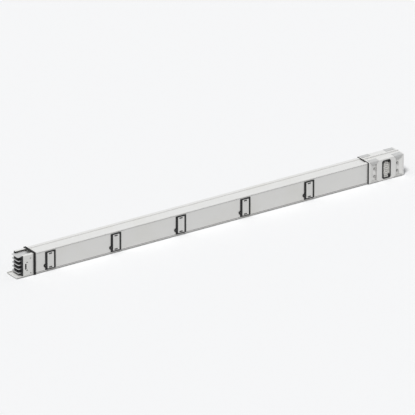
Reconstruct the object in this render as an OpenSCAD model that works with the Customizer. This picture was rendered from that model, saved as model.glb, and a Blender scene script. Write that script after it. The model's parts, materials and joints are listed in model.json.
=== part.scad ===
// Busway section: a straight plug-in length of low-voltage busbar trunking, three metres over all.
//
// Frame: X runs along the section from the plug end (-X) to the socket end (+X), Y across it, with
// the front face at -Y, and Z up. The origin is the bottom centre of the whole section, as it rests
// on its joint clips and its end gasket. Inside the modules, z = 0 is the underside of the casing.

/* [Section] */
// Overall length, from the tip of the bottom tray to the end of the joint covers
section_l = 3000; // [2800:50:3600]
// Width of the casing over the tray rims
casing_w = 113; // [108:1:124]
// Height of the casing over both trays
casing_h = 146; // [136:1:156]
// Thickness of the casing sheet
sheet_t = 1.5; // [1.2:0.1:1.8]
// Outer radius of the bends in the side channels
sheet_bend = 3; // [2.5:0.5:4]
// Outer radius of the bends in the trays
tray_bend = 2.2; // [1.8:0.1:2.4]

/* [Trays] */
// Width of the raised rib along each edge of the top tray
rib_w = 24; // [20:1:26]
// Height of that rib above the middle of the tray
rib_h = 5; // [4:0.5:6]
// Height of the rims that lap over the side channels
rim_h = 7; // [6:0.5:7.5]

/* [Conductors] */
// Width of every bar
bar_w = 76; // [66:1:80]
// Thickness of a phase or neutral bar
bar_t = 6; // [5:0.5:7]
// Thickness of the earth bar on top
earth_t = 3; // [2.5:0.5:4]
// Height of the lowest bar's middle above the underside of the casing
first_bar_z = 25; // [23:0.5:27]
// Depth of the earth bar's middle below the top of the casing
earth_drop = 11.8; // [11.8:0.1:13]
// Radius of the rounded corners at the plug end of a bar
bar_corner = 7; // [4:1:10]

/* [Plug end] */
// How far the bottom tray runs out past the gasket's middle
tongue_l = 135; // [130:1:145]
// How far the phase bars run out past the gasket's middle
bar_out = 111; // [106:1:118]
// How far the earth bar runs out past the gasket's middle
earth_out = 115; // [112:1:122]
// How far the side channels run out past the gasket's middle
stub_l = 84; // [80:1:90]
// Width of the gasket collar along the section
gasket_w = 14; // [12:1:16]
// How far the gasket's lips stand proud of the casing
gasket_proud = 4.5; // [3.5:0.5:6]

/* [Joint] */
// Length of the joint covers
joint_l = 277; // [270:1:300]
// How far the covers stand proud of the casing at the sides
cover_proud_y = 7; // [6:0.5:9]
// How far the covers stand proud of the casing above and below
cover_proud_z = 3; // [3:0.5:5]
// Thickness of the cover sheet
cover_t = 2; // [1.5:0.5:2]
// Distance of the joint bolts from the end of a cover
bolt_in = 48; // [46:1:50]
// How far the middle of a pair of bolts lies below the middle of the casing
bolt_drop = 6; // [4:0.5:7]
// Distance between the two bolts of a pair
bolt_gap = 54; // [50:1:56]
// Diameter of a joint bolt
bolt_d = 8; // [6:1:8]
// Free gap between the ends of two joined bars
expansion_gap = 10; // [8:1:14]

/* [Outlets] */
// Number of outlets on each side
outlet_count = 5; // [1:1:5]
// Distance between neighbouring outlets
outlet_pitch = 500; // [440:10:500]
// Distance from the gasket's middle to the first outlet's middle
outlet_first = 121; // [115:1:160]
// Width of an outlet's frame over all
frame_w = 78; // [76:1:86]
// Gap between the bottom tray's rim and a frame
frame_gap_low = 1.5; // [1:0.5:3]
// Gap between the top tray's rim and a frame
frame_gap_high = 6.5; // [6:0.5:8]
// Width of the doorway in a frame
doorway_w = 48; // [46:1:50]
// Height of the frame's rails above and below the doorway
rail_h = 7; // [6.5:0.5:9]
// Thickness of the door
door_t = 2.5; // [2:0.5:3]

/* [Hidden] */
$fn = 48;
fit = 0.3;            // clearance between pieces that seat in each other
seam = 1;             // gap between the two joint covers
hole_play = 0.5;      // how much larger a bolt hole's radius is than its bolt's

// Stations along X
x_tip = -section_l / 2;
x_gasket = x_tip + tongue_l;
x_end = section_l / 2;
x_joint = x_end - joint_l;
x_joint_mid = x_end - joint_l / 2;
x_next_gasket = x_end + gasket_w / 2;             // where the next section's gasket will be
x_stub = x_gasket - stub_l;
x_plug_hole = x_gasket - gasket_w / 2 - bolt_in;
x_channel_end = x_joint + bolt_in + (x_plug_hole - x_stub);
x_tray_end = x_next_gasket - tongue_l - 2;
x_bar_end = x_next_gasket - bar_out - expansion_gap;
x_earth_end = x_next_gasket - earth_out - expansion_gap;
function outlet_x(k) = x_gasket + outlet_first + (k - 1) * outlet_pitch;

// Levels and half-widths of the casing
web_y = casing_w / 2 - sheet_t;                   // outer face of a side channel's web
web_in_y = web_y - sheet_t;
channel_top = casing_h - sheet_t;
tray_floor_z = casing_h - rib_h;                  // upper face of the top tray's middle
rib_in_y = casing_w / 2 - rib_w;                  // inner edge of a rib
channel_lip_y = rib_in_y + sheet_t + 1;           // inner edge of a channel's flanges
earth_z = casing_h - earth_drop;
bar_pitch = (earth_z - first_bar_z) / 4;
function bar_z(k) = first_bar_z + (k - 1) * bar_pitch;
bolt_levels = [for (s = [-1, 1]) casing_h / 2 - bolt_drop + s * bolt_gap / 2];

// Slots in the plug end of the side channels
key_in = 10;                                      // upright slot's middle to the bolt holes
key_l = 42;
key_w = 11;
tab_slot_in = 21;                                 // small slots' middles to the gasket
tab_slot_low = 16;
tab_slot_high = 28;
tab_slot_l = 12;
tab_slot_w = 5;

// Joint covers
cover_y = casing_w / 2 + cover_proud_y;
cover_top = casing_h + cover_proud_z;
cover_bottom = -cover_proud_z;
seam_lip = 5;
cover_bend = 4;
seal_lip_t = 4;
clip_t = 1.5;
clip_w = 66;
clip_in = 43;
clip_leg_top = 36;
clip_leg_upper = 19;
clip_leg_lower = 10;
clip_taper = 12;
rest_z = max(gasket_proud, cover_proud_z + clip_t);  // lifts the lowest face to z = 0

// Pressed recesses for the bolts: a ramp, then a flat floor
recess_strip = 14;
recess_ramp = 22;
recess_floor = 26;
recess_z0 = 12;
recess_z1 = casing_h - 20;
recess_floor_y = web_y + 0.5 + cover_t;           // outer face of the recess floor

// Window over the joint contacts
window_w = 56;
window_in = 14;                                   // window edge to the top and underside of the casing
window_h = casing_h - 2 * window_in;
window_z = casing_h / 2;
window_r = 8;
bezel_border = 5.5;
bezel_proud = 2;
carrier_wall = 3;
carrier_depth = 10;
shelf_t = 4;

// Contact jaws
jaw_t = 3;
jaw_w = 60;
jaw_back = 44;                                    // how far a jaw lies along its own bar
slit_w = 2;                                       // slits that part a jaw into three fingers
flare_l = 8;
flare_h = 2;
rivet_d = 8;
rivet_y = 18;
rivet_head = 2;

// Bar supports
support_t = 18;
last_support_in = 70;                             // last support's middle to the side channels' end
comb_t = 20;
comb_nose = 8;
comb_in = 18;                                     // how far the comb reaches into the side channels
bare_l = bar_out - stub_l + comb_in - comb_t;     // length of bar that stands out of the comb
jaw_reach = expansion_gap + bare_l - 1.5;         // how far a jaw reaches past its own bar

// Outlets
frame_h = casing_h - 2 * rim_h - frame_gap_low - frame_gap_high;
doorway_h = frame_h - 2 * rail_h;
outlet_z = rim_h + frame_gap_low + frame_h / 2;
frame_base = 3;                                   // thickness of the frame's outer step
frame_face = 5;                                   // thickness of the frame at its inner step
frame_step = 4;
boss_r = 12;
boss_up = 31;                                     // boss above the frame's lower edge
coding_r = 4.5;
sleeve_wall = 3;
sleeve_in = 15;
front_y = web_y + frame_face;                     // outermost face of the frame
pocket_y = front_y - 9.5;                         // face of the contact block
door_gap = 0.4;
hinge_r = 2.8;
pin_r = 1.5;
pin_play = 0.05;
pin_l = 3.8;
lug_r = 3.2;
hinge_x = doorway_w / 2 - door_gap - hinge_r;
slot_w = 34;
slot_h = 14;
grip_w = 23;
grip_h = 6;
grip_t = 1.5;
grip_in = 5;

SIDES = ["front", "rear"];

// ---------- helpers ----------

function unit(v) = v / norm(v);
function left_of(v) = [-v[1], v[0]];
function turned(v, a) = [v[0] * cos(a) - v[1] * sin(a), v[0] * sin(a) + v[1] * cos(a)];

// The point at distance t to the left of a path's vertex i, mitred
function beside(path, i, t) =
    let (
        ahead = i < len(path) - 1 ? unit(path[i + 1] - path[i]) : unit(path[i] - path[i - 1]),
        behind = i > 0 ? unit(path[i] - path[i - 1]) : ahead,
        m = unit(left_of(ahead) + left_of(behind))
    )
    path[i] + m * t / (m * left_of(ahead));

// A path with each inner corner replaced by an arc of radius r
function bent(path, r, steps = 4) = [
    for (i = [0:len(path) - 1])
        if (i == 0 || i == len(path) - 1) path[i]
        else
            let (
                a = unit(path[i] - path[i - 1]),
                b = unit(path[i + 1] - path[i]),
                turn = atan2(a[0] * b[1] - a[1] * b[0], a * b),
                side = sign(turn),
                start = path[i] - a * r * tan(abs(turn) / 2),
                centre = start + left_of(a) * r * side
            )
            for (k = [0:steps]) centre + turned(start - centre, turn * k / steps)
];

// Outline of a sheet of thickness t that lies to the left of a path
function sheet(path, t) = concat(path, [for (i = [len(path) - 1:-1:0]) beside(path, i, t)]);

// Extrusions whose outline lies across the named axis
module along_x(x0, x1) {
    translate([x0, 0, 0]) rotate([90, 0, 90]) linear_extrude(x1 - x0) children();
}

module along_y(y0, y1) {
    translate([0, y1, 0]) rotate([90, 0, 0]) linear_extrude(y1 - y0) children();
}

module centred_rect(w, h) {
    translate([-w / 2, -h / 2]) square([w, h]);
}

module rounded_rect(w, h, r) {
    centred_rect(w - 2 * r, h);
    centred_rect(w, h - 2 * r);
    for (sx = [-1, 1]) for (sy = [-1, 1])
        translate([sx * (w / 2 - r), sy * (h / 2 - r)]) circle(r);
}

// A straight slot with round ends, d wide and l long over all, lying along the outline's x
module oblong(l, d) {
    centred_rect(l - d, d);
    for (s = [-1, 1]) translate([s * (l - d) / 2, 0]) circle(d / 2);
}

module box_between(low, high) {
    translate(low) cube(high - low);
}

module rear_copy(rear) {
    mirror([0, rear ? 1 : 0, 0]) children();
}

// ---------- casing ----------

// Places where a joint bolt passes a side channel: plug end, then socket end
module at_channel_holes() {
    for (x = [x_plug_hole, x_joint + bolt_in]) for (z = bolt_levels)
        translate([x, z]) children();
}

// Front side channel: a web with a flange above and below, pierced for the outlets
module side_channel() {
    profile = bent([[-channel_lip_y, sheet_t], [-web_y, sheet_t], [-web_y, channel_top],
        [-channel_lip_y, channel_top]], sheet_bend);
    difference() {
        along_x(x_stub, x_channel_end) polygon(sheet(profile, -sheet_t));
        along_y(-web_y - 1, -web_in_y + 1) {
            for (k = [1:outlet_count]) translate([outlet_x(k), outlet_z])
                centred_rect(doorway_w + 4 * sleeve_wall + 2 * fit, doorway_h + 2 * fit + 4);
            at_channel_holes() circle(bolt_d / 2 + hole_play);
            // locating slot beside the plug end's holes, and two small slots nearer the gasket
            translate([x_plug_hole - key_in, casing_h / 2 - bolt_drop]) rotate(90) oblong(key_l, key_w);
            for (z = [tab_slot_low, casing_h - tab_slot_high])
                translate([x_gasket - gasket_w / 2 - tab_slot_in, z]) oblong(tab_slot_l, tab_slot_w);
        }
    }
}

// Outer face of each tray across the casing, from rim to rim
half_w = casing_w / 2;
top_profile = bent([[half_w, casing_h - rim_h], [half_w, casing_h], [rib_in_y, casing_h],
    [rib_in_y, tray_floor_z], [-rib_in_y, tray_floor_z], [-rib_in_y, casing_h], [-half_w, casing_h],
    [-half_w, casing_h - rim_h]], tray_bend);
bottom_profile = bent([[-half_w, rim_h], [-half_w, 0], [half_w, 0], [half_w, rim_h]], tray_bend);

module top_tray() {
    along_x(x_gasket - gasket_w / 2, x_channel_end) polygon(sheet(top_profile, sheet_t));
}

module bottom_tray() {
    along_x(x_tip, x_tray_end) polygon(sheet(bottom_profile, sheet_t));
}

// Outline of the closed casing, which the seals fit round
module casing_outline() {
    polygon(concat(
        top_profile, [[-web_y, casing_h - rim_h], [-web_y, rim_h]],
        bottom_profile, [[web_y, rim_h], [web_y, casing_h - rim_h]]));
}

// ---------- conductors ----------

// A flat bar with rounded corners at its plug end and two rivet holes at its socket end
module bar(x0, x1, thickness) {
    difference() {
        union() {
            translate([x0 + bar_corner, -bar_w / 2, 0]) cube([x1 - x0 - bar_corner, bar_w, thickness]);
            translate([x0, -bar_w / 2 + bar_corner, 0]) cube([bar_corner + 1, bar_w - 2 * bar_corner, thickness]);
            for (s = [-1, 1])
                translate([x0 + bar_corner, s * (bar_w / 2 - bar_corner), 0]) cylinder(r = bar_corner, h = thickness);
        }
        for (s = [-1, 1]) translate([x1 - jaw_back / 2, s * rivet_y, -1])
            cylinder(d = rivet_d + 2 * fit, h = thickness + 2);
    }
}

module phase_bar(k) {
    translate([0, 0, bar_z(k) - bar_t / 2]) bar(x_gasket - bar_out, x_bar_end, bar_t);
}

module earth_bar() {
    translate([0, 0, earth_z - earth_t / 2]) bar(x_gasket - earth_out, x_earth_end, earth_t);
}

// Openings for the five bars in a support, as an outline across X
module bar_windows() {
    for (k = [1:4]) translate([0, bar_z(k)]) centred_rect(bar_w + 2 * fit, bar_t + 2 * fit);
    translate([0, earth_z]) centred_rect(bar_w + 2 * fit, earth_t + 2 * fit);
}

module support_outline() {
    low = 2 * sheet_t;
    high = tray_floor_z - sheet_t - fit;
    translate([0, (low + high) / 2]) rounded_rect(2 * (web_in_y - fit), high - low, sheet_bend);
}

// Insulating plates that hold the bars apart: one between outlets and one near the joint
module bar_supports() {
    halfway = [for (k = [1:outlet_count]) outlet_x(k) + outlet_pitch / 2];
    for (x = concat(halfway, [x_channel_end - last_support_in])) along_x(x - support_t / 2, x + support_t / 2) difference() {
        support_outline();
        bar_windows();
    }
}

// Comb at the plug end: a support open above the earth bar, with a pointed nose between each two bars
module end_comb() {
    x0 = x_stub - comb_t + comb_in;
    x1 = x_stub + comb_in;
    along_x(x0, x1) difference() {
        support_outline();
        bar_windows();
        translate([-bar_w / 2 - fit, earth_z]) square([bar_w + 2 * fit, casing_h]);
    }
    nose_y = bar_w / 2 - 2;
    nose_h = bar_pitch - bar_t - 11;
    for (k = [1:4]) translate([0, 0, bar_z(k) + bar_pitch / 2])
        along_y(-nose_y, nose_y)
            polygon([[x0 + 1, nose_h / 2], [x0, nose_h / 2], [x0 - comb_nose, 1],
                [x0 - comb_nose, -1], [x0, -nose_h / 2], [x0 + 1, -nose_h / 2]]);
}

// ---------- seals ----------

// Rubber collar round the casing: a low band between two lips
module end_gasket() {
    lip = gasket_w / 3;
    x0 = x_gasket - gasket_w / 2;
    module collar(from, to, proud)
        along_x(from, to) difference() {
            translate([0, casing_h / 2]) rounded_rect(casing_w + 2 * proud, casing_h + 2 * proud, 4);
            casing_outline();
        }
    collar(x0, x0 + gasket_w, gasket_proud / 2);
    collar(x0, x0 + lip, gasket_proud);
    collar(x0 + gasket_w - lip, x0 + gasket_w, gasket_proud);
}

// Seal between the casing and the joint covers, with a lip that shows along the covers' edge
module entry_seal() {
    inner_y = cover_y - cover_t;
    along_x(x_joint - fit, x_joint + 11) difference() {
        translate([0, casing_h / 2])
            rounded_rect(2 * inner_y, casing_h + 2 * (cover_proud_z - cover_t), cover_bend - cover_t);
        casing_outline();
    }
    along_x(x_joint - fit - seal_lip_t, x_joint - fit) difference() {
        translate([0, casing_h / 2]) rounded_rect(2 * cover_y, casing_h + 2 * cover_proud_z, cover_bend);
        casing_outline();
    }
}

// ---------- joint ----------

// Both bolt stations of a cover, the second one mirrored, with x measured from the cover's end
module at_bolt_stations() {
    translate([x_joint, 0, 0]) children();
    translate([x_end, 0, 0]) mirror([1, 0, 0]) children();
}

// Front cover: half a shell with two pressed recesses and a window
module joint_cover() {
    profile = bent([[-seam / 2 - cover_t, cover_top + seam_lip], [-seam / 2 - cover_t, cover_top],
        [-cover_y, cover_top], [-cover_y, cover_bottom], [-seam / 2, cover_bottom]], cover_bend - 1);
    recess_end = recess_strip + recess_ramp + recess_floor;
    difference() {
        along_x(x_joint, x_end) polygon(sheet(profile, cover_t));
        at_bolt_stations() box_between([recess_strip, -cover_y - 1, recess_z0],
            [recess_end, -cover_y + cover_t + 1, recess_z1]);
        along_y(-cover_y - 1, -cover_y + cover_t + 1)
            translate([x_joint_mid, window_z]) rounded_rect(window_w, window_h, window_r);
    }
    at_bolt_stations() bolt_recess();
}

// A recess pressed into the cover: ramp, floor, steep wall, and the two end walls
module bolt_recess() {
    floor_x = recess_strip + recess_ramp;
    end_x = floor_x + recess_floor;
    dish = [[recess_strip - 1, -cover_y], [recess_strip, -cover_y], [floor_x, -recess_floor_y],
        [end_x, -recess_floor_y], [end_x, -cover_y], [end_x + 1, -cover_y]];
    difference() {
        union() {
            translate([0, 0, recess_z0]) linear_extrude(recess_z1 - recess_z0) polygon(sheet(dish, cover_t));
            for (z = [recess_z0 - cover_t, recess_z1]) translate([0, 0, z]) linear_extrude(cover_t)
                polygon([[recess_strip, -cover_y + 0.1], [floor_x, -recess_floor_y], [floor_x, -recess_floor_y + cover_t],
                    [end_x + cover_t, -recess_floor_y + cover_t], [end_x + cover_t, -cover_y + 0.1]]);
        }
        along_y(-cover_y - 1, -web_y)
            for (z = bolt_levels) translate([bolt_in, z]) circle(bolt_d / 2 + hole_play);
    }
}

// Spring clips bent over the covers' long edges
module joint_clips() {
    for (rear = [false, true]) for (below = [false, true])
        rear_copy(rear) translate([0, 0, below ? casing_h : 0]) mirror([0, 0, below ? 1 : 0])
            at_bolt_stations() joint_clip(below ? clip_leg_lower : clip_leg_upper);
}

// One clip with a front leg that tapers towards its end
module joint_clip(leg) {
    profile = bent([[-cover_y + clip_leg_top, cover_top + clip_t], [-cover_y - clip_t, cover_top + clip_t],
        [-cover_y - clip_t, cover_top - leg]], cover_bend + clip_t - 1.5);
    x0 = clip_in - clip_w / 2;
    x1 = clip_in + clip_w / 2;
    low = cover_top - leg - 1;
    taper = clip_taper * leg / clip_leg_upper;
    intersection() {
        along_x(x0, x1) polygon(sheet(profile, clip_t));
        along_y(-cover_y - clip_t - 1, 0)
            polygon([[x0, cover_top + clip_t + 1], [x0, cover_top - 4], [x0 + taper, low],
                [x1 - taper, low], [x1, cover_top - 4], [x1, cover_top + clip_t + 1]]);
    }
}

// One flanged hex bolt, its axis along Y, with its seat at y = 0 and its head towards -Y
module flange_bolt(shank) {
    washer_t = 1.5;
    head_t = 4.5;
    rotate([90, 0, 0]) {
        cylinder(d = bolt_d * 2.1, h = washer_t);
        cylinder(d = bolt_d * 1.75, h = washer_t + head_t, $fn = 6);
        translate([0, 0, -shank]) cylinder(d = bolt_d, h = shank + 1);
    }
}

// The four bolts of a cover: the socket end's are captive and backed out, the others are tightened
module joint_bolts() {
    nut_t = 6;
    for (z = bolt_levels) {
        translate([x_joint + bolt_in, -recess_floor_y, z]) {
            flange_bolt(recess_floor_y - web_in_y + nut_t + 3);
            translate([0, recess_floor_y - web_in_y, 0]) rotate([-90, 0, 0])
                cylinder(d = bolt_d * 1.75, h = nut_t, $fn = 6);
        }
        translate([x_end - bolt_in, -recess_floor_y, z]) flange_bolt(cover_t);
    }
}

// Soft frames in the windows of both covers
module window_bezels() {
    for (rear = [false, true]) rear_copy(rear) translate([x_joint_mid, 0, window_z]) {
        along_y(-cover_y - bezel_proud, -cover_y) difference() {
            rounded_rect(window_w + 2 * bezel_border, window_h + 2 * bezel_border, window_r + bezel_border);
            rounded_rect(window_w - 4, window_h - 4, window_r - 2);
        }
        along_y(-cover_y - 1, -cover_y + cover_t) difference() {
            rounded_rect(window_w - 2 * fit, window_h - 2 * fit, window_r - fit);
            rounded_rect(window_w - 4, window_h - 4, window_r - 2);
        }
    }
}

// Moulded carrier of the joint contacts: a faced box at each side, joined by shelves between the bars
module contact_carrier() {
    out_y = cover_y - cover_t - fit;
    in_y = out_y - carrier_depth;
    carrier_w = window_w + 2 * carrier_wall;
    carrier_z = [recess_z0 - 4, window_z + window_h / 2 + 1];
    translate([x_joint_mid, 0, 0]) {
        for (rear = [false, true]) rear_copy(rear) {
            difference() {
                box_between([-carrier_w / 2, -out_y, carrier_z[0]], [carrier_w / 2, -in_y + carrier_wall, carrier_z[1]]);
                along_y(-out_y - 1, -in_y) translate([0, window_z]) centred_rect(window_w, window_h);
            }
            for (k = [1:4]) translate([0, 0, bar_z(k)]) jaw_housing(out_y, in_y);
        }
        for (k = [1:4]) translate([0, 0, bar_z(k) + bar_pitch / 2])
            box_between([-carrier_w / 2, -in_y + 1, -shelf_t / 2], [carrier_w / 2, in_y - 1, shelf_t / 2]);
    }
}

// Raised U round one jaw on the carrier's face, open towards the next section
module jaw_housing(out_y, in_y) {
    along_y(-out_y + 2, -in_y + 1) difference() {
        rounded_rect(34, 21, 6);
        rounded_rect(26, 13, 3.5);
        translate([8, -4]) square([12, 8]);
    }
}

// Upper and lower contact plates of jaw k, slit into fingers that flare towards the next section
module contact_jaw(k) {
    thickness = k == 5 ? earth_t : bar_t;
    end = k == 5 ? x_earth_end : x_bar_end;
    level = k == 5 ? earth_z : bar_z(k);
    x0 = end - jaw_back;
    x1 = end + jaw_reach;
    plate = [[x0, thickness / 2], [x1 - flare_l, thickness / 2], [x1, thickness / 2 + flare_h]];
    translate([0, 0, level]) for (s = [0, 1]) mirror([0, 0, s]) difference() {
        along_y(-jaw_w / 2, jaw_w / 2) polygon(sheet(plate, jaw_t));
        for (t = [-1, 1]) translate([end, t * jaw_w / 6 - slit_w / 2, 0])
            cube([jaw_reach + 1, slit_w, thickness + jaw_t + flare_h]);
        for (t = [-1, 1]) translate([end - jaw_back / 2, t * rivet_y, 0])
            cylinder(d = rivet_d + 2 * fit, h = thickness + jaw_t + 1);
    }
}

// Rivets that clamp each jaw's plates on its bar
module jaw_rivets() {
    for (k = [1:5]) for (s = [-1, 1]) {
        grip = (k == 5 ? earth_t : bar_t) / 2 + jaw_t;
        translate([(k == 5 ? x_earth_end : x_bar_end) - jaw_back / 2, s * rivet_y, k == 5 ? earth_z : bar_z(k)]) {
            translate([0, 0, -grip - 1]) cylinder(d = rivet_d, h = 2 * grip + 2);
            for (t = [0, 1]) mirror([0, 0, t]) translate([0, 0, grip])
                cylinder(d1 = rivet_d * 1.7, d2 = rivet_d, h = rivet_head);
        }
    }
}

// ---------- outlets ----------

// Puts an outlet piece, drawn round the origin on the front side, in its place
module at_outlet(k, rear) {
    translate([outlet_x(k), 0, outlet_z]) rotate([0, 0, rear ? 180 : 0]) children();
}

module outlet_frame() {
    boss = [-frame_w / 2, -frame_h / 2 + boss_up];
    difference() {
        union() {
            along_y(-web_y - frame_base, -web_y) {
                rounded_rect(frame_w, frame_h, 3);
                translate(boss) circle(boss_r);
            }
            along_y(-front_y, -web_y) {
                rounded_rect(frame_w - 2 * frame_step, frame_h - frame_step, 2);
                translate(boss) circle(boss_r - 2);
            }
            along_y(-web_y - 1, -web_y + sleeve_in)
                centred_rect(doorway_w + 4 * sleeve_wall, doorway_h + 4);
            for (s = [-1, 1]) translate([hinge_x, -front_y, s * (doorway_h + rail_h) / 2 - rail_h / 2])
                cylinder(r = lug_r, h = rail_h);
        }
        along_y(-front_y - lug_r - 1, -web_y + sleeve_in + 1) centred_rect(doorway_w, doorway_h);
        along_y(-web_y, -web_y + sleeve_in + 1)
            centred_rect(doorway_w + 2 * sleeve_wall, doorway_h);
        along_y(-front_y - 1, -web_y + 1) translate(boss) circle(coding_r);
        translate([hinge_x, -front_y, -doorway_h / 2 - pin_l - 0.7])
            cylinder(r = pin_r + pin_play, h = doorway_h + 2 * pin_l + 1.4);
    }
}

// Insulating block behind the door, with a slot in front of each phase and neutral bar
module contact_block() {
    block_w = doorway_w + 2 * sleeve_wall - 2 * fit;
    block_h = doorway_h - 2 * fit;
    difference() {
        along_y(-web_y, -bar_w / 2 - 1) centred_rect(block_w, block_h);
        along_y(-web_y - 1, -pocket_y) centred_rect(doorway_w - 1, doorway_h - 8);
        along_y(-web_y - 1, -bar_w / 2) for (k = [1:4])
            translate([0, bar_z(k) - outlet_z]) centred_rect(slot_w, slot_h);
    }
}

// Door with its hinge barrel and pins along one edge and a finger grip above and below
module outlet_door() {
    h = doorway_h - 2 * door_gap;
    y_out = front_y - 0.5;
    box_between([-doorway_w / 2 + fit, -y_out, -h / 2], [hinge_x - 0.5, -y_out + door_t, h / 2]);
    translate([hinge_x, -front_y, 0]) {
        translate([0, 0, -h / 2]) cylinder(r = hinge_r, h = h);
        translate([0, 0, -doorway_h / 2 - pin_l]) cylinder(r = pin_r, h = doorway_h + 2 * pin_l);
    }
    for (s = [-1, 1]) translate([-1.5, 0, s * (h / 2 - grip_in - grip_h / 2)])
        along_y(-y_out - grip_t, -y_out + 0.5) rounded_rect(grip_w, grip_h, 1.5);
}

// ---------- assembly ----------

module on_rest(paint) {
    color(paint) translate([0, 0, rest_z]) children();
}

WHITE = "whitesmoke";
SILVER = "silver";
COPPER = "peru";
BLACK = "dimgray";

on_rest(WHITE) side_channel();  // side_channel_front
on_rest(WHITE) rear_copy(true) side_channel();  // side_channel_rear
on_rest(WHITE) top_tray();
on_rest(WHITE) bottom_tray();
on_rest(SILVER) phase_bar(1);  // phase_bar_1
on_rest(SILVER) phase_bar(2);  // phase_bar_2
on_rest(SILVER) phase_bar(3);  // phase_bar_3
on_rest(SILVER) phase_bar(4);  // neutral_bar
on_rest(SILVER) earth_bar();
on_rest(BLACK) bar_supports();
on_rest(BLACK) end_comb();
on_rest(BLACK) end_gasket();
on_rest(BLACK) entry_seal();
on_rest(WHITE) joint_cover();  // joint_cover_front
on_rest(WHITE) rear_copy(true) joint_cover();  // joint_cover_rear
on_rest(WHITE) joint_clips();
on_rest(SILVER) joint_bolts();  // joint_bolts_front
on_rest(SILVER) rear_copy(true) joint_bolts();  // joint_bolts_rear
on_rest(BLACK) window_bezels();
on_rest(BLACK) contact_carrier();
on_rest(SILVER) jaw_rivets();
for (k = [1:5])
    on_rest(COPPER) contact_jaw(k);
for (side = SIDES) for (k = [1:outlet_count]) {
    rear = side == "rear";
    on_rest(BLACK) at_outlet(k, rear) outlet_frame();
    on_rest(BLACK) at_outlet(k, rear) contact_block();
    on_rest(WHITE) at_outlet(k, rear) outlet_door();
}
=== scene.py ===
"""Looks of the busway section: finishes for every CAD node, small fittings, camera, lights and stage.

Everything is in metres, in the CAD model's frame: +X runs from the plug end to the joint box, the front
face is at -Y, and Z is up. Places come from the boxes of the CAD nodes.
"""

import json
import math

import bmesh
import bpy
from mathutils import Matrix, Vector


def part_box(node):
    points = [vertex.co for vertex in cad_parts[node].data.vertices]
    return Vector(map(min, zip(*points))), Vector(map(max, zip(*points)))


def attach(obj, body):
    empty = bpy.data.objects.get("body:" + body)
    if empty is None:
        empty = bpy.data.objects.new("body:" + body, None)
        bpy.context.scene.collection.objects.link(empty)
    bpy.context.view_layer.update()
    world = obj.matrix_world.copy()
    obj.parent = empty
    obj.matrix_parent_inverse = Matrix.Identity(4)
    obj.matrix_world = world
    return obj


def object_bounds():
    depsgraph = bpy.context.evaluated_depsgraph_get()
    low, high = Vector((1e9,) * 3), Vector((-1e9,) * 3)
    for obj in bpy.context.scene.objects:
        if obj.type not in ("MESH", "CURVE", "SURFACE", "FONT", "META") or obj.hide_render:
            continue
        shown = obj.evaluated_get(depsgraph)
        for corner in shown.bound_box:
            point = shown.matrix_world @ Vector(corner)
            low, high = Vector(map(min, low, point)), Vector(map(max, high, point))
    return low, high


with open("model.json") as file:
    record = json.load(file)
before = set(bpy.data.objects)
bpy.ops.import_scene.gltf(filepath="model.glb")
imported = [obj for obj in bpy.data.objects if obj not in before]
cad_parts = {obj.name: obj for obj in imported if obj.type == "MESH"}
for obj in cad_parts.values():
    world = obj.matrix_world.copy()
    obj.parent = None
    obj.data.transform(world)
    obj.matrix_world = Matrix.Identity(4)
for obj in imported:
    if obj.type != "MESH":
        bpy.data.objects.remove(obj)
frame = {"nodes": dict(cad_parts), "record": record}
cad_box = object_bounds()
nodes = frame["nodes"]
slot_of = {part["node"]: part["material_slot"] for part in frame["record"]["subparts"]}

MM = 0.001
SIDES = ("front", "rear")
OUTLETS = range(1, 6)

# Camera: the drawing's angle, with a lens so long that parallel edges stay parallel
VIEW_AZIMUTH = -34.1
VIEW_ELEVATION = 23.5
VIEW_WIDTH = 2.669
VIEW_RAISE = 0.031
LENS = 800.0
CLIP_NEAR = 1.0
CLIP_FAR = 400.0

# Light: one soft sun and a dim world. Seen directly, world and floor are brighter than the light they give
SUN_FROM = (-0.42, -0.34, 0.84)
SUN_STRENGTH = 2.15
SUN_SPREAD = 14.0
WORLD_COLOUR = (0.96, 0.975, 1.0, 1.0)
WORLD_LIGHT = 0.36
WORLD_SEEN = 0.99
FLOOR_HALF = 160.0
FLOOR_DROP = 0.2 * MM
FLOOR_COLOUR = (0.62, 0.62, 0.62)
FLOOR_SEEN = (1.0, 1.0, 1.0)

# Sizes of the CAD model that the small pieces are set against
BEZEL_BORDER = 5.5 * MM
BEZEL_LIP = 2.0 * MM
FRAME_FACE = 5.0 * MM
DOOR_SINK = 0.5 * MM
DOOR_PIN = 4.2 * MM
CARRIER_DEPTH = 10.0 * MM
COVER_T = 2.0 * MM
SEAM_LIP = 3.0 * MM
SLOT_W = 34.0 * MM
SLOT_H = 14.0 * MM
JAWS = range(1, 6)
JAW_FLARE = 2.0 * MM
FINGER_PITCH = 20.0 * MM

# How far most small pieces sink into what carries them, and the angle from which their edges stay sharp.
# Each _SHAPE below is the profile of a fastener's head, in shares of its radius and height
SEAT = 0.2 * MM
SHARP_ANGLE = 35.0

# Finger grips on the doors
GRIP_W = 23.6 * MM
GRIP_H = 6.6 * MM
GRIP_T = 2.1 * MM
GRIP_BEVEL = 0.6 * MM
GRIP_IN = 8.0 * MM
GRIP_OFFSET = 1.5 * MM
GRIP_SEAT = 0.4 * MM
RIDGES = 4
RIDGE_PITCH = GRIP_H / (RIDGES + 0.6)
RIDGE_SIZE = (GRIP_W * 0.84, 0.6 * MM, 0.7 * MM)
RIDGE_BEVEL = 0.18 * MM

# Snap pins in the outlet frames
PIN_R = 2.3 * MM
PIN_H = 0.7 * MM
PIN_SEAT = 0.3 * MM
PIN_IN_X = 9.5 * MM
PIN_IN_Z = 14.0 * MM
PIN_SHAPE = ((1.0, 0.5), (0.8, 1.0), (0.3, 1.0), (0.3, 0.3))

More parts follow.
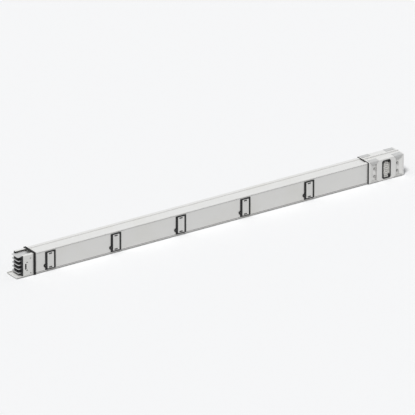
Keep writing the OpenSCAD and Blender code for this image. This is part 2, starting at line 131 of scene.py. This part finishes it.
# Finger-safe lips in the slots of the contact blocks
LIP_H = 3.2 * MM
LIP_T = 1.6 * MM
LIP_IN = 4.0 * MM
LIP_BEVEL = 0.4 * MM
SLOT_BARS = ("phase_bar_1", "phase_bar_2", "phase_bar_3", "neutral_bar")

# Latches at the corners of the joint windows, each a plate on a post, and their screws
LATCH_W = 8.4 * MM
LATCH_H = 17.0 * MM
LATCH_OUT = 7.0 * MM
LATCH_T = 2.4 * MM
LATCH_BEVEL = 0.7 * MM
POST_W = LATCH_W * 0.4
POST_SHIFT = LATCH_W * 0.3
POST_BEVEL = 0.6 * MM
SCREW_R = 3.0 * MM
SCREW_H = 1.6 * MM
SCREW_SHAPE = ((1.0, 0.6), (0.8, 1.0), (0.45, 1.0), (0.45, 0.4))

# Raised faces on the heads of the joint bolts
FLANGE_R = 8.4 * MM
HEAD_R = 6.0 * MM
HEAD_H = 0.7 * MM
HEAD_SHAPE = ((1.0, 0.5), (0.93, 1.0), (0.3, 0.7))

# Leaf springs over the contact fingers
SPRING_W = 12.0 * MM
SPRING_T = 0.8 * MM
SPRING_RISE = 3.0 * MM
SPRING_FROM = 34.0 * MM
SPRING_TO = 9.0 * MM
SPRING_ARCH = 1.3
SPRING_STEPS = 10

# Sealing beads where the trays' rims lap over the side channels, laid by hand and so a little uneven;
# being dark, they also paint the seam's shade line
BEAD_H = 1.3 * MM
BEAD_OUT = 1.35 * MM
BEAD_SEGMENTS = 60
BEAD_WAVES = ((0.06, 2.4), (0.04, 5.1))

# Clinch buttons that hold the trays' rims on the side channels, and rivets through the covers' seam
BUTTON_R = 2.4 * MM
BUTTON_H = 0.45 * MM
BUTTON_SHAPE = ((0.92, 0.7), (0.7, 1.0), (0.55, 0.4))
BUTTON_PITCH = 125.0 * MM
BUTTON_END = 30.0 * MM
RIVET_R = 1.7 * MM
RIVET_H = 0.6 * MM
RIVET_SHAPE = ((1.0, 0.3), (0.7, 0.85), (0.25, 1.0))
RIVET_COUNT = 5


# ---------- node materials ----------

class Shader:
    """A Principled material with short calls for the procedural nodes that feed it."""

    BEVEL_SAMPLES = 4
    OCCLUSION_SAMPLES = 6
    COLOUR_A, COLOUR_B, COLOUR_RESULT = 6, 7, 2  # The colour sockets of a Mix node

    def __init__(self, name, colour, roughness, metallic=0.0, **sockets):
        self.material = bpy.data.materials.new(name)
        self.material.use_nodes = True
        self.tree = self.material.node_tree
        self.bsdf = self.tree.nodes["Principled BSDF"]
        self.bsdf.inputs["Base Color"].default_value = (*colour, 1.0)
        self.bsdf.inputs["Roughness"].default_value = roughness
        self.bsdf.inputs["Metallic"].default_value = metallic
        for socket, value in sockets.items():
            self.bsdf.inputs[socket.replace("_", " ")].default_value = value
        self.colour = colour
        self.coords = self.tree.nodes.new("ShaderNodeTexCoord").outputs["Object"]

    def link(self, output, target):
        self.tree.links.new(output, target)

    def math(self, operation, a, b):
        node = self.tree.nodes.new("ShaderNodeMath")
        node.operation = operation
        for value, target in zip((a, b), node.inputs):
            if isinstance(value, float):
                target.default_value = value
            else:
                self.link(value, target)
        return node.outputs[0]

    def noise(self, scale, detail=3.0, roughness=0.5, stretch=None):
        node = self.tree.nodes.new("ShaderNodeTexNoise")
        node.inputs["Scale"].default_value = scale
        node.inputs["Detail"].default_value = detail
        node.inputs["Roughness"].default_value = roughness
        coords = self.coords
        if stretch:
            mapping = self.tree.nodes.new("ShaderNodeMapping")
            mapping.inputs["Scale"].default_value = stretch
            self.link(coords, mapping.inputs["Vector"])
            coords = mapping.outputs["Vector"]
        self.link(coords, node.inputs["Vector"])
        return node.outputs["Fac"]

    def cells(self, scale):
        node = self.tree.nodes.new("ShaderNodeTexVoronoi")
        node.inputs["Scale"].default_value = scale
        self.link(self.coords, node.inputs["Vector"])
        return node.outputs["Distance"]

    def span(self, value, low, high, out_low, out_high):
        node = self.tree.nodes.new("ShaderNodeMapRange")
        node.inputs["From Min"].default_value = low
        node.inputs["From Max"].default_value = high
        node.inputs["To Min"].default_value = out_low
        node.inputs["To Max"].default_value = out_high
        self.link(value, node.inputs["Value"])
        return node.outputs["Result"]

    def edges(self, radius, most):
        """Rises to most along sharp edges."""
        bevel = self.tree.nodes.new("ShaderNodeBevel")
        bevel.samples = self.BEVEL_SAMPLES
        bevel.inputs["Radius"].default_value = radius
        flat = self.tree.nodes.new("ShaderNodeNewGeometry").outputs["Normal"]
        dot = self.tree.nodes.new("ShaderNodeVectorMath")
        dot.operation = "DOT_PRODUCT"
        self.link(bevel.outputs["Normal"], dot.inputs[0])
        self.link(flat, dot.inputs[1])
        return self.span(dot.outputs["Value"], 0.99, 0.85, 0.0, most)

    def painted_crease_shade(self, distance, most):
        """Rises to most in inner corners and gaps, by ambient occlusion: a mask for painted shade."""
        node = self.tree.nodes.new("ShaderNodeAmbientOcclusion")
        node.samples = self.OCCLUSION_SAMPLES
        node.inputs["Distance"].default_value = distance
        return self.span(node.outputs["AO"], 0.95, 0.35, 0.0, most)

    def tint(self, factor, other):
        """Takes the base colour towards another one, by factor."""
        node = self.tree.nodes.new("ShaderNodeMix")
        node.data_type = "RGBA"
        colour_a = node.inputs[self.COLOUR_A]
        base = self.bsdf.inputs["Base Color"]
        if base.is_linked:
            self.link(base.links[0].from_socket, colour_a)
        else:
            colour_a.default_value = (*self.colour, 1.0)
        node.inputs[self.COLOUR_B].default_value = (*other, 1.0)
        self.link(factor, node.inputs[0])
        self.link(node.outputs[self.COLOUR_RESULT], base)

    def vary_roughness(self, value, low, high):
        self.link(self.span(value, 0.3, 0.7, low, high), self.bsdf.inputs["Roughness"])

    def bump(self, height, distance, strength=1.0):
        node = self.tree.nodes.new("ShaderNodeBump")
        node.inputs["Distance"].default_value = distance
        node.inputs["Strength"].default_value = strength
        normal = self.bsdf.inputs["Normal"]
        if normal.is_linked:
            self.link(normal.links[0].from_socket, node.inputs["Normal"])
        self.link(height, node.inputs["Height"])
        self.link(node.outputs["Normal"], normal)


def scaled(colour, factor):
    return tuple(min(1.0, c * factor) for c in colour)


def powder_coat(name, colour):
    """Powder coat on bent sheet: orange peel, faint clouding, thin worn edges and painted shade in the
    corners.
    """
    s = Shader(name, colour, 0.42, Coat_Weight=0.12, Coat_Roughness=0.3)
    clouds = s.span(s.noise(5.0, 6.0, 0.6), 0.48, 0.75, 0.0, 0.5)
    s.tint(clouds, (colour[0] * 0.92, colour[1] * 0.91, colour[2] * 0.87))
    patches = s.span(s.noise(45.0, 5.0, 0.65), 0.35, 0.6, 0.35, 1.0)
    s.tint(s.math("MULTIPLY", s.edges(1.3 * MM, 0.75), patches), (0.36, 0.36, 0.35))
    # Painted shade: inner corners and gaps darkened by ambient occlusion
    s.tint(s.painted_crease_shade(12 * MM, 0.8), (0.20, 0.195, 0.18))
    s.vary_roughness(s.noise(26.0, 4.0), 0.36, 0.50)
    s.bump(s.noise(520.0, 2.0), 0.08 * MM, 0.5)
    return s.material


def rolled_metal(name, colour, roughness):
    """Bar stock with drawing lines along X, dull patches and bright edges."""
    s = Shader(name, colour, roughness, 1.0)
    lines = s.noise(60.0, 5.0, 0.7, stretch=(0.5, 40.0, 40.0))
    s.tint(s.span(s.noise(18.0, 5.0, 0.6), 0.45, 0.75, 0.0, 0.7), scaled(colour, 0.78))
    s.tint(s.edges(0.6 * MM, 0.6), (0.90, 0.90, 0.89))
    # Painted shade: corners and gaps darkened by ambient occlusion
    s.tint(s.painted_crease_shade(9 * MM, 0.6), scaled(colour, 0.35))
    s.vary_roughness(lines, roughness - 0.08, roughness + 0.10)
    s.bump(lines, 0.06 * MM, 0.6)
    return s.material


def plated_steel(name, colour):
    """Zinc or tin plate with fine crystals and rubbed corners."""
    s = Shader(name, colour, 0.34, 1.0)
    s.tint(s.span(s.cells(900.0), 0.0, 0.6, 0.0, 0.6), scaled(colour, 0.68))
    s.tint(s.edges(0.4 * MM, 0.7), (0.86, 0.86, 0.85))
    # Painted shade: corners and gaps darkened by ambient occlusion
    s.tint(s.painted_crease_shade(5 * MM, 0.7), scaled(colour, 0.25))
    s.vary_roughness(s.noise(300.0, 3.0), 0.26, 0.42)
    s.bump(s.noise(1400.0, 2.0), 0.04 * MM, 0.5)
    return s.material


def moulded(name, colour, roughness, rubbed):
    """Moulded plastic with a spark-eroded grain, faint flow marks and rubbed edges."""
    s = Shader(name, colour, roughness, Specular_IOR_Level=0.35)
    s.tint(s.span(s.noise(40.0, 5.0, 0.6), 0.45, 0.75, 0.0, 0.25), rubbed)
    s.tint(s.edges(0.5 * MM, 0.6), rubbed)
    # Painted shade: corners and gaps darkened by ambient occlusion
    s.tint(s.painted_crease_shade(5 * MM, 0.4), scaled(colour, 0.4))
    s.vary_roughness(s.noise(90.0, 3.0), roughness - 0.06, roughness + 0.08)
    s.bump(s.noise(1500.0, 2.0), 0.06 * MM, 0.6)
    s.bump(s.noise(24.0, 2.0, 0.5, stretch=(1.0, 1.0, 0.35)), 0.25 * MM, 0.3)
    return s.material


def rubber(name, colour):
    """Matt black rubber with a bloom of pale dust on its edges."""
    s = Shader(name, colour, 0.68, Specular_IOR_Level=0.35)
    s.tint(s.span(s.noise(30.0, 6.0, 0.65), 0.5, 0.8, 0.0, 0.4), (0.05, 0.05, 0.048))
    s.tint(s.edges(0.8 * MM, 0.5), (0.07, 0.07, 0.068))
    s.vary_roughness(s.noise(60.0, 3.0), 0.6, 0.78)
    s.bump(s.noise(900.0, 3.0), 0.08 * MM, 0.6)
    return s.material


MATERIALS = {
    "casing_paint": powder_coat("casing_paint", (0.82, 0.815, 0.795)),
    "cover_paint": powder_coat("cover_paint", (0.84, 0.835, 0.815)),
    "clip_paint": powder_coat("clip_paint", (0.60, 0.60, 0.59)),
    "bar_metal": rolled_metal("bar_metal", (0.54, 0.54, 0.535), 0.32),
    "earth_metal": rolled_metal("earth_metal", (0.63, 0.625, 0.615), 0.36),
    "insulation": moulded("insulation", (0.020, 0.020, 0.022), 0.5, (0.07, 0.07, 0.07)),
    "seal_rubber": rubber("seal_rubber", (0.010, 0.010, 0.010)),
    "zinc_steel": plated_steel("zinc_steel", (0.50, 0.495, 0.48)),
    "carrier_plastic": moulded("carrier_plastic", (0.83, 0.82, 0.79), 0.45, (0.74, 0.73, 0.70)),
    "jaw_metal": plated_steel("jaw_metal", (0.74, 0.70, 0.62)),
    "outlet_plastic": moulded("outlet_plastic", (0.010, 0.010, 0.011), 0.42, (0.06, 0.06, 0.06)),
    "block_plastic": moulded("block_plastic", (0.024, 0.024, 0.026), 0.5, (0.08, 0.08, 0.08)),
    "door_plastic": moulded("door_plastic", (0.80, 0.795, 0.775), 0.38, (0.70, 0.695, 0.67)),
}


def dress_cad_nodes():
    for name, node in nodes.items():
        node.data.materials.clear()
        node.data.materials.append(MATERIALS[slot_of[name]])


# ---------- mesh helpers ----------

def add_piece(name, mesh, slot, body, smooth=False):
    """Turns a bmesh into an object with one of the record's finishes, riding on a body."""
    bmesh.ops.recalc_face_normals(mesh, faces=mesh.faces)
    data = bpy.data.meshes.new(name)
    mesh.to_mesh(data)
    mesh.free()
    if smooth:
        data.shade_smooth()
        data.set_sharp_from_angle(angle=math.radians(SHARP_ANGLE))
    piece = bpy.data.objects.new(name, data)
    bpy.context.scene.collection.objects.link(piece)
    data.materials.append(MATERIALS[slot])
    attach(piece, body)


def add_block(mesh, centre, size, bevel, segments=2):
    """A box with rounded edges."""
    made = bmesh.ops.create_cube(mesh, size=1.0)["verts"]
    bmesh.ops.scale(mesh, vec=size, verts=made)
    bmesh.ops.translate(mesh, vec=centre, verts=made)
    edges = list(dict.fromkeys(edge for vert in made for edge in vert.link_edges))
    bmesh.ops.bevel(mesh, geom=edges, offset=bevel, segments=segments, profile=0.5, affect="EDGES")


def add_head(mesh, radius, height, shape, centre, out, steps, seat=SEAT):
    """Turns a fastener's head round Y, facing out, with its foot sunk by seat.

    Shape gives the points from the rim to the middle, in shares of radius and height.
    """
    turn = Vector((0.0, 0.0, 1.0)).rotation_difference(Vector((0.0, out, 0.0))).to_matrix()
    profile = [(radius, -seat)] + [(radius * across, height * up) for across, up in shape]
    rings = []
    for r, h in profile:
        ring = []
        for i in range(steps):
            angle = 2.0 * math.pi * i / steps
            point = Vector((r * math.cos(angle), r * math.sin(angle), h))
            ring.append(mesh.verts.new(Vector(centre) + turn @ point))
        rings.append(ring)
    for low, high in zip(rings, rings[1:]):
        for i in range(steps):
            j = (i + 1) % steps
            mesh.faces.new((low[i], low[j], high[j], high[i]))
    mesh.faces.new(rings[0])
    mesh.faces.new(rings[-1])


def run_section(mesh, rows):
    """Joins rows of matching points into a closed bar with capped ends."""
    rows = [[mesh.verts.new(point) for point in row] for row in rows]
    count = len(rows[0])
    for a, b in zip(rows, rows[1:]):
        for k in range(count):
            mesh.faces.new((a[k], a[(k + 1) % count], b[(k + 1) % count], b[k]))
    mesh.faces.new(rows[0])
    mesh.faces.new(rows[-1])


def outward(name):
    """-1 for a front node and +1 for a rear one: the way its face looks along Y."""
    return -1.0 if "front" in name else 1.0


# ---------- outlets ----------

class Outlet:
    """Where one outlet's doorway stands, from the boxes of its CAD nodes."""

    def __init__(self, side, number):
        self.name = f"{side}_{number}"
        self.out = outward(side)
        block_low, block_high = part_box(f"contact_block_{self.name}")
        self.x = (block_low.x + block_high.x) / 2
        self.z = (block_low.z + block_high.z) / 2
        self.face_y = max(abs(block_low.y), abs(block_high.y)) + FRAME_FACE
        self.block_back_y = min(abs(block_low.y), abs(block_high.y))
        door_low, door_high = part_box(f"outlet_door_{self.name}")
        self.door_h = door_high.z - door_low.z - 2 * DOOR_PIN


def door_grips(outlet):
    """Two black ridged grips on the face of a door."""
    mesh = bmesh.new()
    x = outlet.x + outlet.out * GRIP_OFFSET
    foot_y = outlet.face_y - DOOR_SINK - GRIP_SEAT
    for end in (-1, 1):
        z = outlet.z + end * (outlet.door_h / 2 - GRIP_IN)
        y = outlet.out * (foot_y + GRIP_T / 2)
        add_block(mesh, (x, y, z), (GRIP_W, GRIP_T, GRIP_H), GRIP_BEVEL)
        for i in range(RIDGES):
            ridge_z = z + (i - (RIDGES - 1) / 2) * RIDGE_PITCH
            ridge_y = outlet.out * (foot_y + GRIP_T)
            add_block(mesh, (x, ridge_y, ridge_z), RIDGE_SIZE, RIDGE_BEVEL, segments=1)
    add_piece(f"door_grips_{outlet.name}", mesh, "outlet_plastic", f"door_{outlet.name}")


def frame_pins(outlet):
    """Snap pins that hold a frame to the casing: low round heads, each with a dimple in its middle."""
    mesh = bmesh.new()
    frame_low, frame_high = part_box(f"outlet_frame_{outlet.name}")
    half_w = min(frame_high.x - outlet.x, outlet.x - frame_low.x)
    half_h = (frame_high.z - frame_low.z) / 2
    for x in (-1, 1):
        for z in (-1, 1):
            centre = (outlet.x + x * (half_w - PIN_IN_X), outlet.out * outlet.face_y,
                      outlet.z + z * (half_h - PIN_IN_Z))
            add_head(mesh, PIN_R, PIN_H, PIN_SHAPE, centre, outlet.out, steps=20, seat=PIN_SEAT)
    add_piece(f"frame_pins_{outlet.name}", mesh, "outlet_plastic", "section")


def contact_lips(outlet):
    """Finger-safe lips above and below each slot of a contact block, level with the bars."""
    mesh = bmesh.new()
    y = outlet.out * (outlet.block_back_y + LIP_IN)
    for bar in SLOT_BARS:
        low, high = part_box(bar)
        for side in (-1, 1):
            z = (low.z + high.z) / 2 + side * (SLOT_H - LIP_H) / 2
            add_block(mesh, (outlet.x, y, z), (SLOT_W, LIP_T, LIP_H), LIP_BEVEL)
    add_piece(f"contact_lips_{outlet.name}", mesh, "carrier_plastic", "section")


# ---------- joint ----------

def window_latches(side):
    """Black latches with screws at the corners of a joint window, standing on the carrier's face."""
    mesh = bmesh.new()
    out = outward(side)
    low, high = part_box("window_bezels")
    carrier_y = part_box("contact_carrier")[1].y - CARRIER_DEPTH
    inner = BEZEL_BORDER + BEZEL_LIP
    centre_x, centre_z = (low.x + high.x) / 2, (low.z + high.z) / 2
    reach_x = (high.x - low.x) / 2 - inner - LATCH_W / 2
    reach_z = (high.z - low.z) / 2 - inner - LATCH_H / 2
    for sx in (-1, 1):
        for sz in (-1, 1):
            x, z = centre_x + sx * reach_x, centre_z + sz * reach_z
            post_y = out * (carrier_y + LATCH_OUT / 2)
            plate_y = out * (carrier_y + LATCH_OUT)
            add_block(mesh, (x + sx * POST_SHIFT, post_y, z), (POST_W, LATCH_OUT, LATCH_H), POST_BEVEL)
            add_block(mesh, (x, plate_y, z), (LATCH_W, LATCH_T, LATCH_H), LATCH_BEVEL)
            face_y = plate_y + out * LATCH_T / 2
            add_head(mesh, SCREW_R, SCREW_H, SCREW_SHAPE, (x, face_y, z), out, steps=28, seat=0.0)
    add_piece(f"window_latches_{side}", mesh, "outlet_plastic", "section")


def bolt_faces(side):
    """Raised round faces on the hex heads of a cover's bolts."""
    mesh = bmesh.new()
    out = outward(side)
    low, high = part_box(f"joint_bolts_{side}")
    head_y = max(abs(low.y), abs(high.y))
    for x in (low.x + FLANGE_R, high.x - FLANGE_R):
        for z in (low.z + FLANGE_R, high.z - FLANGE_R):
            add_head(mesh, HEAD_R, HEAD_H, HEAD_SHAPE, (x, out * head_y, z), out, steps=32)
    add_piece(f"bolt_faces_{side}", mesh, "zinc_steel", "section")


def jaw_springs():
    """Arched leaf springs on the fingers of the contact jaws, three above and three below each pair."""
    mesh = bmesh.new()
    for number in JAWS:
        low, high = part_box(f"contact_jaw_{number}")
        middle_z = (low.z + high.z) / 2
        plate = (high.z - low.z) / 2 - JAW_FLARE
        x0, x1 = low.x + SPRING_FROM, high.x - SPRING_TO
        for side in (-1, 1):
            for finger in (-1, 0, 1):
                rows = []
                y = finger * FINGER_PITCH
                for i in range(SPRING_STEPS + 1):
                    t = i / SPRING_STEPS
                    x = x0 + (x1 - x0) * t
                    z = middle_z + side * (plate + SPRING_RISE * math.sin(math.pi * t) ** SPRING_ARCH)
                    top = z + side * SPRING_T
                    left, right = y - SPRING_W / 2, y + SPRING_W / 2
                    rows.append([(x, left, z), (x, right, z), (x, right, top), (x, left, top)])
                run_section(mesh, rows)
    add_piece("jaw_springs", mesh, "jaw_metal", "section")


# ---------- casing ----------

def sealant_and_seam_shade_beads():
    """Dark beads of sealant in the corners under the top tray's rims and over the bottom tray's, which
    also paint the shade line of the seam.
    """
    mesh = bmesh.new()
    web_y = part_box("side_channel_rear")[1].y
    x0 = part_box("end_gasket")[1].x
    x1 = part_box("entry_seal")[0].x
    for side in (-1, 1):
        for rim_z, away in ((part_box("top_tray")[0].z, -1), (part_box("bottom_tray")[1].z, 1)):
            rows = []
            for i in range(BEAD_SEGMENTS + 1):
                x = x0 + (x1 - x0) * i / BEAD_SEGMENTS
                swell = 1.0 + sum(share * math.sin(i * turn) for share, turn in BEAD_WAVES)
                h, t = BEAD_H * swell, BEAD_OUT
                shape = ((-SEAT, 0.0), (t, 0.0), (t * 0.9, h * 0.5), (t * 0.5, h * 0.9), (-SEAT, h))
                rows.append([(x, side * (web_y + a), rim_z + away * b) for a, b in shape])
            run_section(mesh, rows)
    add_piece("sealant_and_seam_shade_beads", mesh, "seal_rubber", "section", smooth=True)


def clinch_buttons():
    """Low round buttons pressed through the trays' rims, in rows along the casing."""
    mesh = bmesh.new()
    x0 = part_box("end_gasket")[1].x + BUTTON_END
    x1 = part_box("entry_seal")[0].x - BUTTON_END
    count = round((x1 - x0) / BUTTON_PITCH)
    for tray in ("top_tray", "bottom_tray"):
        low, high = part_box(tray)
        z = (low.z + high.z) / 2
        for side in (-1, 1):
            for i in range(count + 1):
                x = x0 + (x1 - x0) * i / count
                add_head(mesh, BUTTON_R, BUTTON_H, BUTTON_SHAPE, (x, side * high.y, z), side, steps=18)
    add_piece("clinch_buttons", mesh, "casing_paint", "section", smooth=True)


def seam_rivets():
    """Small rivets through the standing seam of the joint covers."""
    mesh = bmesh.new()
    low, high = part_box("joint_cover_front")
    z = high.z - SEAM_LIP
    lip_y = abs(high.y) + COVER_T
    for i in range(RIVET_COUNT):
        x = low.x + (high.x - low.x) * (i + 0.5) / RIVET_COUNT
        for side in (-1, 1):
            add_head(mesh, RIVET_R, RIVET_H, RIVET_SHAPE, (x, side * lip_y, z), side, steps=18)
    add_piece("seam_rivets", mesh, "zinc_steel", "section", smooth=True)


# ---------- camera, lights and stage ----------

def add_camera():
    azimuth = math.radians(VIEW_AZIMUTH)
    elevation = math.radians(VIEW_ELEVATION)
    flat = math.cos(elevation)
    back = Vector((math.sin(azimuth) * flat, -math.cos(azimuth) * flat, math.sin(elevation)))
    data = bpy.data.cameras.new("camera")
    data.lens = LENS
    data.clip_start = CLIP_NEAR
    data.clip_end = CLIP_FAR
    camera = bpy.data.objects.new("camera", data)
    bpy.context.scene.collection.objects.link(camera)
    camera.rotation_euler = (-back).to_track_quat("-Z", "Y").to_euler()
    up = camera.rotation_euler.to_matrix() @ Vector((0.0, 1.0, 0.0))
    middle = (Vector(cad_box[0]) + Vector(cad_box[1])) / 2
    camera.location = middle + up * VIEW_RAISE + back * (VIEW_WIDTH * LENS / data.sensor_width)
    bpy.context.scene.camera = camera


def seen_directly(tree):
    """1 for rays from the camera, a mirror or a glass, and 0 for the light that falls on things."""
    path = tree.nodes.new("ShaderNodeLightPath")
    total = path.outputs["Is Camera Ray"]
    for name in ("Is Glossy Ray", "Is Transmission Ray"):
        node = tree.nodes.new("ShaderNodeMath")
        node.operation = "MAXIMUM"
        tree.links.new(total, node.inputs[0])
        tree.links.new(path.outputs[name], node.inputs[1])
        total = node.outputs[0]
    return total


def add_lights():
    data = bpy.data.lights.new("key", "SUN")
    data.energy = SUN_STRENGTH
    data.angle = math.radians(SUN_SPREAD)
    lamp = bpy.data.objects.new("key", data)
    lamp.rotation_euler = (-Vector(SUN_FROM)).to_track_quat("-Z", "Y").to_euler()
    bpy.context.scene.collection.objects.link(lamp)
    world = bpy.data.worlds.new("studio")
    bpy.context.scene.world = world
    world.use_nodes = True
    tree = world.node_tree
    background = tree.nodes["Background"]
    background.inputs["Color"].default_value = WORLD_COLOUR
    level = tree.nodes.new("ShaderNodeMapRange")
    level.inputs["To Min"].default_value = WORLD_LIGHT
    level.inputs["To Max"].default_value = WORLD_SEEN
    tree.links.new(seen_directly(tree), level.inputs["Value"])
    tree.links.new(level.outputs["Result"], background.inputs["Strength"])


def add_floor():
    """A wide floor a hair below the part, so that the two don't share a plane."""
    half = FLOOR_HALF
    mesh = bmesh.new()
    corners = [(-half, -half), (half, -half), (half, half), (-half, half)]
    mesh.faces.new([mesh.verts.new((x, y, -FLOOR_DROP)) for x, y in corners])
    data = bpy.data.meshes.new("floor")
    mesh.to_mesh(data)
    mesh.free()
    floor = bpy.data.objects.new("floor", data)
    bpy.context.scene.collection.objects.link(floor)
    shader = Shader("floor", FLOOR_COLOUR, 0.9, Specular_IOR_Level=0.1)
    shader.tint(seen_directly(shader.tree), FLOOR_SEEN)
    data.materials.append(shader.material)


def main():
    dress_cad_nodes()
    for side in SIDES:
        window_latches(side)
        bolt_faces(side)
        for number in OUTLETS:
            outlet = Outlet(side, number)
            door_grips(outlet)
            frame_pins(outlet)
            contact_lips(outlet)
    jaw_springs()
    sealant_and_seam_shade_beads()
    clinch_buttons()
    seam_rivets()
    add_camera()
    add_lights()
    add_floor()
    bpy.context.scene.view_settings.view_transform = "Standard"


main()
